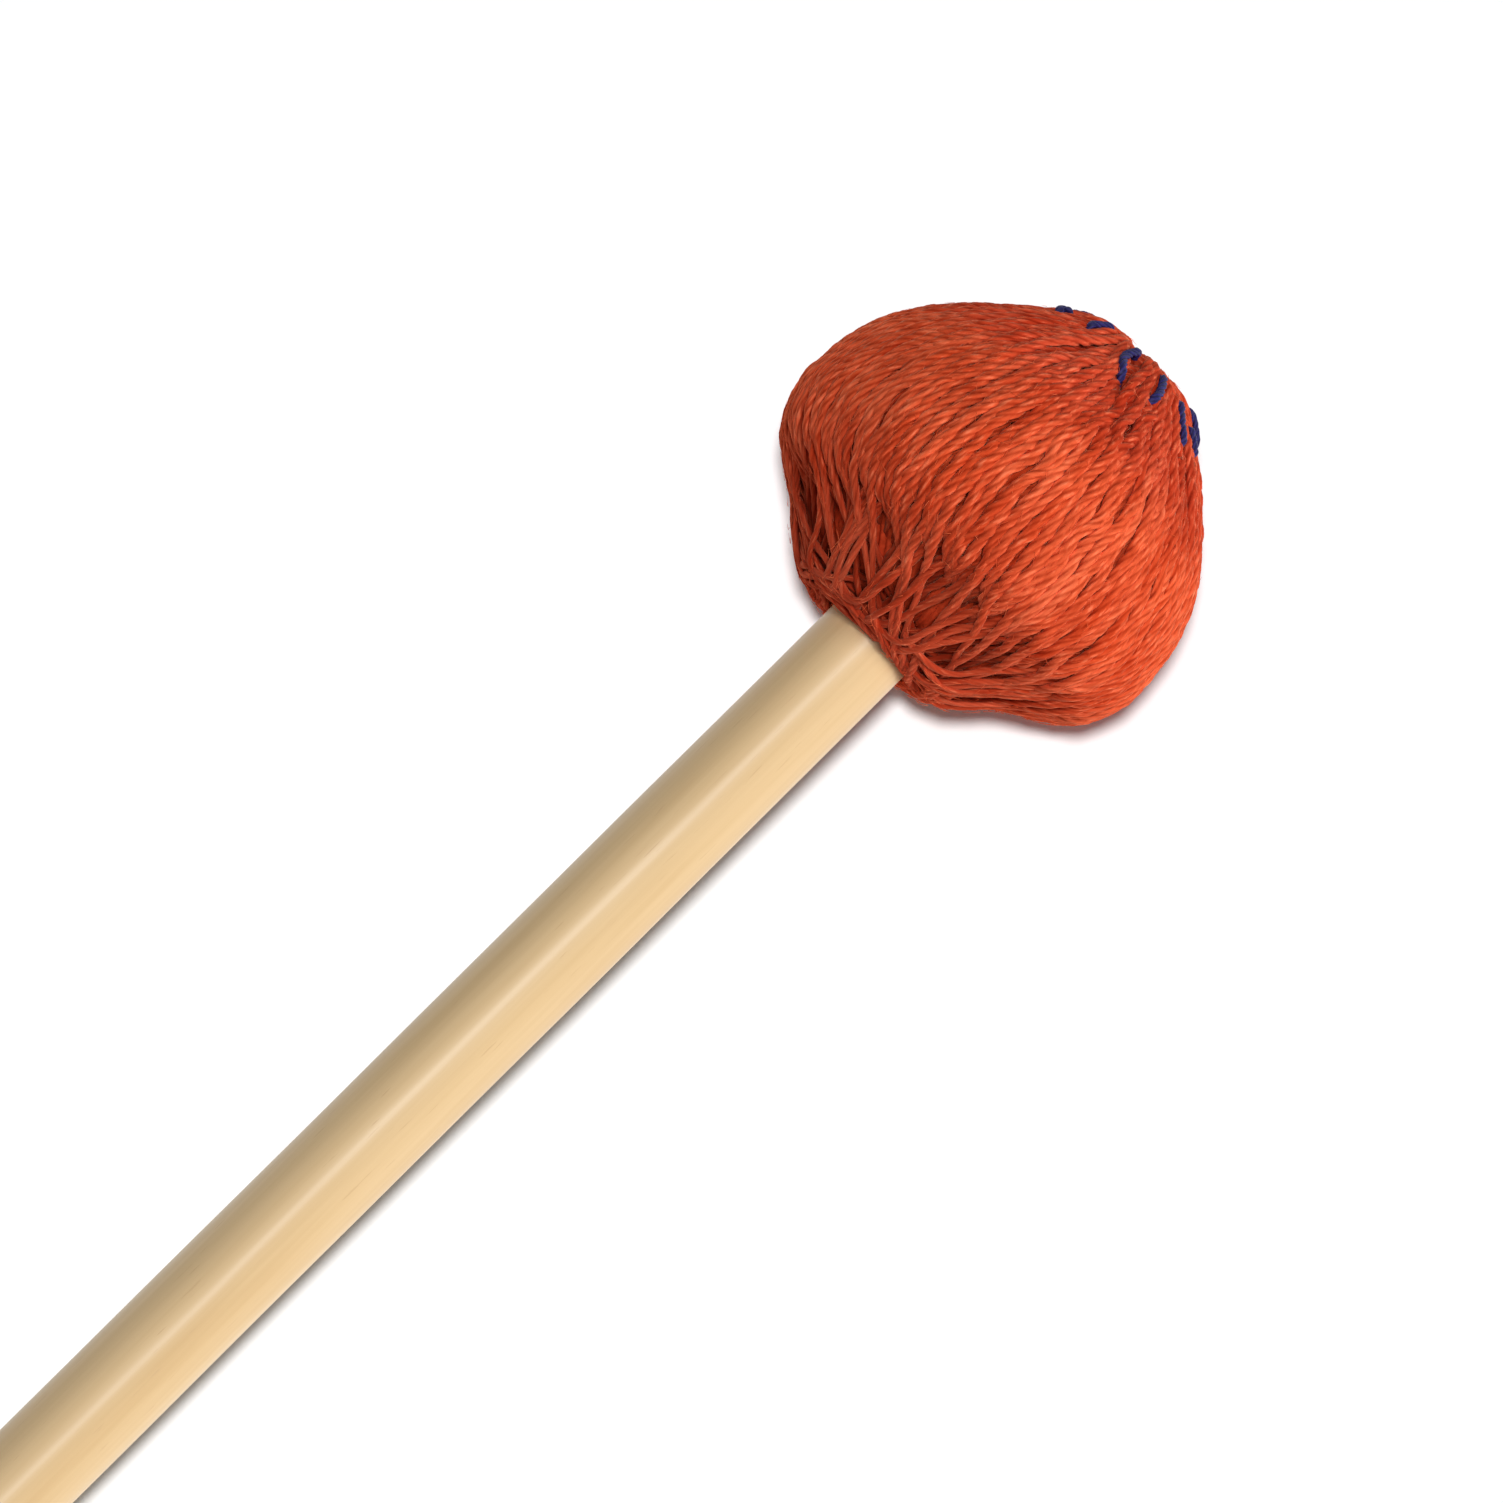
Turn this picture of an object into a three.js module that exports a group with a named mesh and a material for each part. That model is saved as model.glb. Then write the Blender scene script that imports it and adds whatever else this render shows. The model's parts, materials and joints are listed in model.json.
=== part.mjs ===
// A wound keyboard mallet, as played on vibraphone and marimba, in millimetres with +Z up.
// A rattan shaft is glued into a moulded rubber core. A latex sleeve covers the core, and one long cord is
// wound over it, to and fro between the shaft and the crown, where a navy thread stitches it down.
// The mallet lies as it is put down on a table: on the belly of its head and on the butt of its shaft.
import * as THREE from "three";

// Whole mallet
const overallLength = 397;
const seatGap = 0.3; // between pieces that lie on each other

// Rattan shaft
const shaftRadius = 3.9;
const buttRounding = 2.4;
const tipChamfer = 0.6;

// Head, measured over its cord
const headRadius = 18.1;
const headHeight = 32.1;
const bellyHeight = 13.2; // from the underside of the head to its widest place

// Adhesive between the shaft and the core
const glueFilm = 0.25;
const bondGap = 0.15;
const glueFilletRadius = 6.1; // where the adhesive was squeezed out at the mouth of the socket
const glueFilletHeight = 0.6;

// Layers under the outer cord
const innerLayersDepth = 3.2; // at the belly
const sleeveWall = 0.9;
const socketRoof = 4.4; // rubber that the core keeps between the end of its socket and its crown

// Cord of the outer layer
const cordRadius = 0.4;
const turnGap = 0.5; // least gap between two turns
const cordSag = 0.4; // how far a straight step of the cord cuts under the round of the head
const windingLoops = 24;
const windingTwist = THREE.MathUtils.degToRad(40); // how far a strand leans round the head on its way up
const twistEaseShare = 0.16; // share of a strand's way over which its lean begins and ends
const neckDiveShares = [0.64, 1.18]; // where strands dive at the shaft, as shares of sideBySideRadius
const endTurnShare = 0.25; // how far the cord's two ends draw together, as a share of strandAngle
const crownDiveLength = 3.4; // way out from the stitches over which the crown's strands come up again

// Thread of the crown's stitches
const threadRadius = 0.32;
const strandsUnderStitch = 2; // upper strands that the thread passes under from one stitch to the next
const stitchReach = 8.6; // radius at which a stitch goes back into the cord

// Fineness of the surfaces
const shaftSides = 36;
const headSides = 30;
const outlineSteps = 13;
const outlineFineness = 1000; // steps in which the outline is measured
const halvings = 30; // steps in which a place on the outline is narrowed down
const buttSteps = 5;
const cordSides = 6;
const runSteps = 9; // steps of a strand between its turns at the shaft and at the crown
const turnSteps = 3;
const stitchSteps = 3; // steps of a stitch over the edge of the crown, and of its way to the next one
const gapSampling = 0.4; // distance between the points on which a cord's gap to itself is measured

// Materials
const rattan = new THREE.MeshStandardMaterial({ color: "#e8ca97", roughness: 0.38, metalness: 0 });
const rubber = new THREE.MeshStandardMaterial({ color: "#3a3634", roughness: 0.8, metalness: 0 });
const latex = new THREE.MeshStandardMaterial({ color: "#d9b98a", roughness: 0.6, metalness: 0 });
const adhesive = new THREE.MeshStandardMaterial({ color: "#e6dcc0", roughness: 0.3, metalness: 0 });
const orangeCord = new THREE.MeshStandardMaterial({ color: "#d8481f", roughness: 0.7, metalness: 0 });
const innerCord = new THREE.MeshStandardMaterial({ color: "#a93314", roughness: 0.8, metalness: 0 });
const navyThread = new THREE.MeshStandardMaterial({ color: "#22235c", roughness: 0.65, metalness: 0 });

// Every piece is made about the mallet's own axis, which is Y here, from the butt at 0 up to the crown.
const lyingMallet = new THREE.Group();

function addPiece(name, geometry, material) {
  const piece = new THREE.Mesh(geometry, material);
  piece.name = name;
  lyingMallet.add(piece);
}

// Outline of the head
const neckRadius = shaftRadius + seatGap;
const headBase = overallLength - headHeight;
const bellyPlace = headBase + bellyHeight;
const stitchLift = cordRadius + seatGap + threadRadius; // between the middles of a strand and a stitch on it
const stitchRise = stitchLift + threadRadius - cordRadius; // what the stitches add to the height of the crown

// From the shaft to the belly, as shares of the height and of the way out from the shaft
const undersideShares = [
  [0, 0],
  [0.11, 0.26],
  [0.35, 0.58],
  [0.59, 0.87],
  [0.8, 0.975],
  [1, 1],
];
// From the belly to the middle of the crown, as shares of the height and of the belly's radius
const crownShares = [
  [0.25, 0.96],
  [0.5, 0.835],
  [0.74, 0.59],
  [0.89, 0.41],
  [0.97, 0.29],
  [1, 0.15],
  [1, 0],
];

// The head's outline drawn in by an inset, as a curve from the shaft to the middle of the crown
function headOutline(inset) {
  const radius = headRadius - inset;
  const base = headBase + inset;
  const crown = overallLength - stitchRise - inset;
  const between = THREE.MathUtils.lerp;
  const underside = undersideShares.map(
    ([up, out]) => new THREE.Vector2(between(neckRadius, radius, out), between(base, bellyPlace, up)),
  );
  const upper = crownShares.map(
    ([up, out]) => new THREE.Vector2(out * radius, between(bellyPlace, crown, up)),
  );
  return new THREE.SplineCurve([...underside, ...upper]);
}

// Places on the head. A strand's middle line follows this outline, and a place is told by its share of the
// way along it, from the shaft at 0 to the middle of the crown at 1.
const strandOutline = headOutline(cordRadius);
strandOutline.arcLengthDivisions = outlineFineness;

function radiusAt(along) {
  return strandOutline.getPointAt(along).x;
}

// The place between two others at which a measure of the outline, larger at the first of them, has a value
function alongWhere(measure, value, largerAlong, smallerAlong) {
  let larger = largerAlong;
  let smaller = smallerAlong;
  for (let halving = 0; halving < halvings; halving++) {
    const middle = (larger + smaller) / 2;
    if (measure(middle) > value) larger = middle;
    else smaller = middle;
  }
  return smaller;
}

function bellyOfOutline() {
  let widest = 0;
  for (let step = 1; step < outlineFineness; step++) {
    if (radiusAt(step / outlineFineness) > radiusAt(widest)) widest = step / outlineFineness;
  }
  return widest;
}
const bellyAlong = bellyOfOutline();

// The outline at an inset as points, from the radius of an open mouth to the middle of the crown
function outlinePoints(inset, mouthRadius) {
  const outline = headOutline(inset);
  const mouthAlong = alongWhere((along) => outline.getPointAt(along).x, mouthRadius, bellyAlong, 0);
  const points = [];
  for (let step = 0; step <= outlineSteps; step++) {
    points.push(outline.getPointAt(THREE.MathUtils.lerp(mouthAlong, 1, step / outlineSteps)));
  }
  points[outlineSteps].x = 0;
  return points;
}

// A point at a place, round the head by an angle and under the strands' middle line by a depth
function pointOnHead(along, angle, depth) {
  const point = strandOutline.getPointAt(along);
  const tangent = strandOutline.getTangentAt(along);
  const radius = point.x - depth * tangent.y;
  return new THREE.Vector3(radius * Math.sin(angle), point.y + depth * tangent.x, radius * Math.cos(angle));
}

// The directions out of the head and along its outline toward the crown at a place
function outwardAt(along, angle) {
  const tangent = strandOutline.getTangentAt(along);
  return new THREE.Vector3(tangent.y * Math.sin(angle), -tangent.x, tangent.y * Math.cos(angle));
}

function crownwardAt(along, angle) {
  const tangent = strandOutline.getTangentAt(along);
  return new THREE.Vector3(tangent.x * Math.sin(angle), tangent.y, tangent.x * Math.cos(angle));
}

// Each loop of the outer layer has a strand that goes up and one that goes down, and turns at the crown and
// at the shaft. Round the belly all lie side by side. Near the axis there is room for half of them, so there
// the strands that go down dive under those that go up.
const turnPitch = 2 * cordRadius + turnGap;
const strandAngle = Math.PI / windingLoops; // from a strand that goes up to the next one that goes down
const turnRadius = turnPitch / (2 * Math.sin(strandAngle)); // where the turns just lie side by side
const sideBySideRadius = (windingLoops * turnPitch) / Math.PI;
const neckDepth = turnPitch;
const crownDepth = 2 * stitchLift; // leaves room for the thread between the upper and the lower strands
const crownDiveRadius = stitchReach + stitchLift;

// The place at which strands can turn, where the half round of the turn comes no nearer to the axis than that
function turnPlace(depth, poleAlong) {
  const nearest = (along) => radiusAt(along) - (depth / 2) * (1 + strandOutline.getTangentAt(along).y);
  return alongWhere(nearest, turnRadius, bellyAlong, poleAlong);
}

const neckAlong = turnPlace(neckDepth, 0);
const crownAlong = turnPlace(crownDepth, 1);

// How far a strand that goes down lies under those that go up
function diveAt(along) {
  const radius = radiusAt(along);
  if (along < bellyAlong) {
    const [innerShare, outerShare] = neckDiveShares;
    const risen = THREE.MathUtils.smoothstep(radius / sideBySideRadius, innerShare, outerShare);
    return neckDepth * (1 - risen);
  }
  const risen = THREE.MathUtils.smoothstep((radius - crownDiveRadius) / crownDiveLength, 0, 1);
  return crownDepth * (1 - risen);
}

// How far a strand has leant round the head at a place: steadily, with an eased beginning and end
function leanAt(along) {
  const way = THREE.MathUtils.clamp((along - neckAlong) / (crownAlong - neckAlong), 0, 1);
  const ease = twistEaseShare;
  const steady = 1 / (1 - ease);
  if (way < ease) return -windingTwist * steady * ((way * way) / (2 * ease));
  if (way > 1 - ease) return -windingTwist * (1 - steady * (((1 - way) * (1 - way)) / (2 * ease)));
  return -windingTwist * steady * (way - ease / 2);
}

// Two neighbouring strands lie evenly on either side of the line on which the head rests.
const restAngle = Math.PI;
const windingStart = restAngle - strandAngle / 2 - leanAt(bellyAlong);

// One strand between its turns, as points with the direction that its first side faces
function strand(angle, goesUp) {
  const steps = [];
  for (let step = 0; step <= runSteps; step++) {
    const way = goesUp ? step / runSteps : 1 - step / runSteps;
    const along = neckAlong + way * (crownAlong - neckAlong);
    const turned = angle + leanAt(along);
    const facing = outwardAt(along, turned).multiplyScalar(goesUp ? 1 : -1);
    steps.push({ point: pointOnHead(along, turned, goesUp ? 0 : diveAt(along)), facing });
  }
  return steps;
}

// The points of a turn between two strands, without its ends: a half round in the plane of the axis
function turn(along, fromAngle, toAngle, depth, goesUnder) {
  const towardAxis = along > bellyAlong ? 1 : -1;
  const steps = [];
  for (let step = 1; step < turnSteps; step++) {
    const share = step / turnSteps;
    const angle = THREE.MathUtils.lerp(fromAngle, toAngle, share) + leanAt(along);
    const around = Math.PI * (goesUnder ? share : 1 - share);
    const facing = crownwardAt(along, angle).multiplyScalar(towardAxis * Math.sin(around));
    facing.addScaledVector(outwardAt(along, angle), Math.cos(around));
    const middle = pointOnHead(along, angle, depth / 2);
    steps.push({ point: middle.addScaledVector(facing, depth / 2), facing });
  }
  return steps;
}

// An end of the cord at the shaft: it meets the shaft square, and is straight for its own thickness.
function shaftEnd(angle, depth, facesUp) {
  const height = pointOnHead(neckAlong, angle, depth).y;
  return [neckRadius, neckRadius + 2 * cordRadius].map((radius) => ({
    point: new THREE.Vector3(radius * Math.sin(angle), height, radius * Math.cos(angle)),
    facing: new THREE.Vector3(0, facesUp, 0),
  }));
}

// The whole outer layer, as one cord that begins and ends at the shaft
const cordPath = [];
for (let loop = 0; loop < windingLoops; loop++) {
  const upAngle = windingStart + 2 * strandAngle * loop;
  const downAngle = upAngle + strandAngle;
  if (loop === 0) cordPath.push(...shaftEnd(upAngle - endTurnShare * strandAngle, 0, -1));
  cordPath.push(...strand(upAngle, true));
  cordPath.push(...turn(crownAlong, upAngle, downAngle, crownDepth, true));
  cordPath.push(...strand(downAngle, false));
  if (loop < windingLoops - 1) {
    cordPath.push(...turn(neckAlong, downAngle, downAngle + strandAngle, neckDepth, false));
  } else {
    cordPath.push(...shaftEnd(downAngle + endTurnShare * strandAngle, neckDepth, 1).reverse());
  }
}

// A tube of few sides along points, with its ends closed, or joined to each other
function cordTube(path, radius, sides, joined) {
  const positions = [];
  const indices = [];
  const count = path.length;
  path.forEach(({ point, facing }, place) => {
    const before = joined ? path[(place + count - 1) % count] : path[Math.max(place - 1, 0)];
    const after = joined ? path[(place + 1) % count] : path[Math.min(place + 1, count - 1)];
    const arriving = point.clone().sub(before.point).normalize();
    const leaving = after.point.clone().sub(point).normalize();
    const direction = arriving.add(leaving).normalize();
    const across = new THREE.Vector3().crossVectors(direction, facing).normalize();
    const upward = new THREE.Vector3().crossVectors(across, direction);
    for (let side = 0; side < sides; side++) {
      const angle = (2 * Math.PI * side) / sides;
      const corner = point.clone().addScaledVector(upward, radius * Math.cos(angle));
      corner.addScaledVector(across, radius * Math.sin(angle));
      positions.push(...corner);
    }
  });
  const rings = joined ? count : count - 1;
  for (let ring = 0; ring < rings; ring++) {
    for (let side = 0; side < sides; side++) {
      const here = ring * sides + side;
      const beside = ring * sides + ((side + 1) % sides);
      const next = ((ring + 1) % count) * sides + side;
      const nextBeside = ((ring + 1) % count) * sides + ((side + 1) % sides);
      indices.push(here, beside, next, beside, nextBeside, next);
    }
  }
  if (!joined) {
    const last = (count - 1) * sides;
    for (let side = 1; side < sides - 1; side++) {
      indices.push(0, side + 1, side, last, last + side, last + side + 1);
    }
  }
  const geometry = new THREE.BufferGeometry();
  geometry.setAttribute("position", new THREE.Float32BufferAttribute(positions, 3));
  geometry.setIndex(indices);
  geometry.computeVertexNormals();
  return geometry;
}

// The least gap of a cord to itself, measured on points along it, leaving out the bend that a point lies in
function leastGap(path, radius, joined) {
  const points = [];
  const places = [];
  let length = 0;
  const count = joined ? path.length : path.length - 1;
  for (let step = 0; step < count; step++) {
    const from = path[step].point;
    const to = path[(step + 1) % path.length].point;
    const parts = Math.ceil(from.distanceTo(to) / gapSampling);
    for (let part = 0; part < parts; part++) {
      points.push(from.clone().lerp(to, part / parts));
      places.push(length + (from.distanceTo(to) * part) / parts);
    }
    length += from.distanceTo(to);
  }
  const bend = Math.PI * 2 * radius;
  let least = Infinity;
  for (let one = 0; one < points.length; one++) {
    for (let other = one + 1; other < points.length; other++) {
      const apart = places[other] - places[one];
      const apartOnCord = joined ? Math.min(apart, length - apart) : apart;
      if (apartOnCord > bend) least = Math.min(least, points[one].distanceToSquared(points[other]));
    }
  }
  return Math.sqrt(least) - 2 * radius;
}

// The stitches run over the edge of the crown in every second space between two upper strands. At its outer
// end a stitch dives and its thread passes under two upper strands to the next one. At its inner end the
// thread comes round inside the turns of the cord.
const stitchAlong = alongWhere(radiusAt, stitchReach, bellyAlong, 1);
const hollowRadius = turnRadius - stitchLift; // where the thread runs inside the ring of turns
const hollowAlong = alongWhere(radiusAt, hollowRadius, bellyAlong, 1);
const stitchAngle = 2 * strandAngle * strandsUnderStitch;

function stitchPoint(along, angle, depth) {
  const turned = angle + leanAt(along);
  return { point: pointOnHead(along, turned, depth), facing: outwardAt(along, turned) };
}

// One stitch from the hollow of the crown out to where it ends under the upper strands
function stitch(angle) {
  const steps = [stitchPoint(hollowAlong, angle, 0)];
  for (let step = 0; step <= stitchSteps; step++) {
    const along = THREE.MathUtils.lerp(crownAlong, stitchAlong, step / stitchSteps);
    steps.push(stitchPoint(along, angle, -stitchLift));
  }
  steps.push(stitchPoint(stitchAlong, angle, 0), stitchPoint(stitchAlong, angle, stitchLift));
  return steps;
}

// The thread's way round the crown at one place and depth, between two stitches
function aroundCrown(along, fromAngle, toAngle, depth) {
  const steps = [];
  for (let step = 1; step < stitchSteps; step++) {
    steps.push(stitchPoint(along, THREE.MathUtils.lerp(fromAngle, toAngle, step / stitchSteps), depth));
  }
  return steps;
}

const threadPath = [];
const stitchPairs = Math.floor(windingLoops / (2 * strandsUnderStitch));
for (let pair = 0; pair < stitchPairs; pair++) {
  const outward = windingStart + strandAngle + 2 * pair * stitchAngle;
  const inward = outward + stitchAngle;
  threadPath.push(...stitch(outward));
  threadPath.push(...aroundCrown(stitchAlong, outward, inward, stitchLift));
  threadPath.push(...stitch(inward).reverse());
  threadPath.push(...aroundCrown(hollowAlong, inward, inward + stitchAngle, 0));
}

// The cord's inner layers, packed into one soft body. It follows the deepest strands with a gap, stands up in
// the hollow of the crown, and leaves the shaft free.
const layersClearance = cordRadius + seatGap + cordSag;
const innerLayersInset = 2 * cordRadius + seatGap + cordSag;
const sleeveInset = innerLayersInset + innerLayersDepth + seatGap;
const coreInset = sleeveInset + sleeveWall + seatGap;
const plugRadius = turnRadius - cordRadius - seatGap;
const plugAlong = alongWhere(radiusAt, plugRadius, bellyAlong, 1);
const layersOutside = [];
for (let step = 0; step <= outlineSteps; step++) {
  const along = (step / outlineSteps) * plugAlong;
  const point = strandOutline.getPointAt(along);
  const tangent = strandOutline.getTangentAt(along);
  const depth = layersClearance + diveAt(along);
  layersOutside.push(new THREE.Vector2(point.x - depth * tangent.y, point.y + depth * tangent.x));
}
layersOutside[0].x = neckRadius;
const plugFoot = layersOutside[outlineSteps];
plugFoot.x = plugRadius;
const plugTop = pointOnHead(hollowAlong, 0, threadRadius + seatGap).y;
const layersInside = outlinePoints(innerLayersInset + innerLayersDepth, neckRadius).reverse();
const layersProfile = [
  ...layersInside,
  ...layersOutside,
  new THREE.Vector2(plugRadius, plugTop),
  new THREE.Vector2(0, plugTop),
];
addPiece("cord_inner_layers", new THREE.LatheGeometry(layersProfile, headSides), innerCord);

// The outer layer and the stitches over it
addPiece("cord_outer_layer", cordTube(cordPath, cordRadius, cordSides, false), orangeCord);
addPiece("crown_stitching", cordTube(threadPath, threadRadius, cordSides, true), navyThread);
console.log(`cord_outer_layer: least gap to itself ${leastGap(cordPath, cordRadius, false).toFixed(3)} mm`);
console.log(`crown_stitching: least gap to itself ${leastGap(threadPath, threadRadius, true).toFixed(3)} mm`);

// Latex sleeve over the core, open round the adhesive at the shaft
const sleeveMouth = glueFilletRadius + seatGap;
const sleeveProfile = [
  ...outlinePoints(sleeveInset + sleeveWall, sleeveMouth).reverse(),
  ...outlinePoints(sleeveInset, sleeveMouth),
];
addPiece("latex_sleeve", new THREE.LatheGeometry(sleeveProfile, headSides), latex);

// Rubber core: a moulded mushroom with a blind socket for the shaft
const glueInside = shaftRadius + bondGap;
const glueOutside = glueInside + glueFilm;
const socketRadius = glueOutside + bondGap;
const coreOutline = outlinePoints(coreInset, socketRadius);
const coreMouth = coreOutline[0].y;
const socketEnd = coreOutline[outlineSteps].y - socketRoof;
const shaftTip = socketEnd - seatGap;
const socketFloor = [new THREE.Vector2(0, socketEnd), new THREE.Vector2(socketRadius, socketEnd)];
const coreProfile = [...socketFloor, ...coreOutline];
addPiece("rubber_core", new THREE.LatheGeometry(coreProfile, headSides), rubber);

// Adhesive: a thin film round the shaft in the socket, with the fillet that was squeezed out at its mouth
const glueTop = shaftTip - tipChamfer;
const filletTop = coreMouth - seatGap;
const glueProfile = [
  new THREE.Vector2(glueInside, glueTop),
  new THREE.Vector2(glueInside, filletTop - glueFilletHeight),
  new THREE.Vector2(glueFilletRadius, filletTop),
  new THREE.Vector2(glueOutside, filletTop),
  new THREE.Vector2(glueOutside, glueTop),
  new THREE.Vector2(glueInside, glueTop),
];
addPiece("adhesive_film", new THREE.LatheGeometry(glueProfile, headSides), adhesive);

// Rattan shaft: a straight cane, chamfered at its hidden tip and rounded at the butt round a small flat
const buttFlatRadius = shaftRadius - buttRounding;
const shaftProfile = [new THREE.Vector2(0, 0)];
for (let step = 0; step <= buttSteps; step++) {
  const bend = (step / buttSteps) * (Math.PI / 2);
  const radius = buttFlatRadius + buttRounding * Math.sin(bend);
  shaftProfile.push(new THREE.Vector2(radius, buttRounding * (1 - Math.cos(bend))));
}
shaftProfile.push(
  new THREE.Vector2(shaftRadius, shaftTip - tipChamfer),
  new THREE.Vector2(shaftRadius - tipChamfer, shaftTip),
  new THREE.Vector2(0, shaftTip),
);
// Half a side's turn puts one of the cane's flat sides down.
addPiece("rattan_shaft", new THREE.LatheGeometry(shaftProfile, shaftSides, Math.PI / shaftSides), rattan);

// The mallet is laid along X with its crown at +X. The head is thicker than the shaft, so the axis rises
// toward it by the angle at which the belly and the rounded butt touch the table together.
const contactLength = bellyPlace - buttRounding;
const contactRise = headRadius - buttFlatRadius;
const lyingTilt =
  Math.acos(buttRounding / Math.hypot(contactLength, contactRise)) - Math.atan2(contactLength, contactRise);
lyingMallet.rotation.set(0, -lyingTilt, -Math.PI / 2, "YZX");

const mallet = new THREE.Group();
mallet.add(lyingMallet);
mallet.updateMatrixWorld(true);
const bounds = new THREE.Box3().setFromObject(mallet, true);
const middle = bounds.getCenter(new THREE.Vector3());
mallet.position.set(-middle.x, -middle.y, -bounds.min.z);

export default mallet;
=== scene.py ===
import json
import math

import bpy
import numpy as np
from mathutils import Matrix, Vector


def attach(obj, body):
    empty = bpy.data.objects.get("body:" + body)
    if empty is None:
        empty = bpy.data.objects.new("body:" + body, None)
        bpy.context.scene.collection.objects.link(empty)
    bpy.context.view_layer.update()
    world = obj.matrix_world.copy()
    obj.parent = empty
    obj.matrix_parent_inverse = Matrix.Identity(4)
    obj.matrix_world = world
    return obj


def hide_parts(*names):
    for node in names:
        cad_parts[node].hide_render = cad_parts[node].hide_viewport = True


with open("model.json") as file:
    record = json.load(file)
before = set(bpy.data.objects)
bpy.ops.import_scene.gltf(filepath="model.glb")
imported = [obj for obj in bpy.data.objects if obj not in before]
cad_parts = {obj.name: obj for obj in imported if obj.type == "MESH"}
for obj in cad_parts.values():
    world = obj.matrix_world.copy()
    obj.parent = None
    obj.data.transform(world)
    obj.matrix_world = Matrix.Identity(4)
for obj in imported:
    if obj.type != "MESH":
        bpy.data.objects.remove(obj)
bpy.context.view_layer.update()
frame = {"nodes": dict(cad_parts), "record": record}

# Rattan shaft. A straight peeled cane, sanded round at the butt, lacquered and glued into the core. It lies
# with its butt on the table and rises a little toward the head. The whole mallet is built up along it: Z
# runs up the cane from its butt, and the other two directions go round it.
mm = 0.001
butt_mount = frame["record"]["mounts"][0]
butt = Vector(butt_mount["pos_m"])
axis = -Vector(butt_mount["axis"]).normalized()
lying = Matrix.Translation(butt) @ axis.to_track_quat("Z", "Y").to_matrix().to_4x4()


def along_and_out(node):
    """How far along the mallet and out from its axis the vertices of a CAD node lie."""
    places = np.array([lying.inverted() @ vertex.co for vertex in frame["nodes"][node].data.vertices])
    return places[:, 2], np.hypot(places[:, 0], places[:, 1])


def finished(piece, name, material, slot, *nodes):
    """Names a new piece, lays it with the mallet and puts it, in its finish, in place of the CAD nodes."""
    piece.name = name
    piece.data.name = name
    piece.data.transform(lying)
    piece.data.materials.append(material)
    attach(piece, "root")
    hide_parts(*nodes)


def mesh_of(points, faces, uv=None):
    """A smooth mesh from points and faces of four corners, with a UV place for each corner if given."""
    mesh = bpy.data.meshes.new("new piece")
    mesh.vertices.add(len(points))
    mesh.vertices.foreach_set("co", points.astype(np.float32).ravel())
    mesh.loops.add(faces.size)
    mesh.loops.foreach_set("vertex_index", faces.astype(np.int32).ravel())
    mesh.polygons.add(len(faces))
    mesh.polygons.foreach_set("loop_start", np.arange(0, faces.size, 4, dtype=np.int32))
    mesh.polygons.foreach_set("use_smooth", np.ones(len(faces), dtype=bool))
    if uv is not None:
        layer = mesh.uv_layers.new(name="along the cord")
        layer.uv.foreach_set("vector", uv.astype(np.float32).ravel())
    mesh.update()
    mesh.validate()
    piece = bpy.data.objects.new("new piece", mesh)
    bpy.context.scene.collection.objects.link(piece)
    return piece


def tube_faces(count, sides):
    """The faces of a tube of rings, and those that close its two ends."""
    here = np.arange(count - 1)[:, None] * sides + np.arange(sides)[None, :]
    beside = np.arange(count - 1)[:, None] * sides + (np.arange(sides)[None, :] + 1) % sides
    faces = np.stack([here, beside, beside + sides, here + sides], axis=-1).reshape(-1, 4)
    caps = []
    for i in range(sides // 2 - 1):
        cap = np.array([i, i + 1, sides - 2 - i, sides - 1 - i])
        caps += [cap[::-1], cap + (count - 1) * sides]
    return faces, np.array(caps)


shaft_along, shaft_out = along_and_out("rattan_shaft")
shaft_length = float(shaft_along.max())
shaft_radius = float(shaft_out.max())
butt_rounding = 2.4 * mm
tip_rounding = 0.5 * mm
rounding_steps = 9
cane_sides = 72
cane_step = 2.2 * mm  # between the rings along the cane
# The slow unevenness of its growth: how deep, how long, and how often round the cane
cane_unevenness = ((0.015 * mm, 21 * mm, 1), (0.012 * mm, 9 * mm, 2), (0.008 * mm, 4 * mm, 3))


def peeled_cane():
    """The cane, rounded at both ends and a little uneven, in short rings that mirror light evenly."""
    turn = np.linspace(0, math.pi / 2, rounding_steps)
    middle = np.arange(butt_rounding + cane_step, shaft_length - tip_rounding, cane_step)
    radius = np.concatenate([
        shaft_radius - butt_rounding * (1 - np.sin(turn)),
        np.full_like(middle, shaft_radius),
        shaft_radius - tip_rounding * (1 - np.cos(turn)),
    ])[:, None]
    height = np.concatenate([
        butt_rounding * (1 - np.cos(turn)),
        middle,
        shaft_length - tip_rounding * (1 - np.sin(turn)),
    ])[:, None]
    angle = np.linspace(0, 2 * math.pi, cane_sides, endpoint=False)
    for depth, length, times in cane_unevenness:
        radius = radius + depth * np.sin(height / length + times * (angle + 1))
    points = np.stack([radius * np.cos(angle), radius * np.sin(angle), height + 0 * angle], axis=-1)
    return mesh_of(points.reshape(-1, 3), np.concatenate(tube_faces(len(points), cane_sides)))


cane = peeled_cane()


def new_material(name, roughness):
    """A material, its node tree and its Principled shader."""
    material = bpy.data.materials.new(name)
    material.use_nodes = True
    shader = material.node_tree.nodes["Principled BSDF"]
    shader.inputs["Roughness"].default_value = roughness
    return material, material.node_tree, shader


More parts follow.
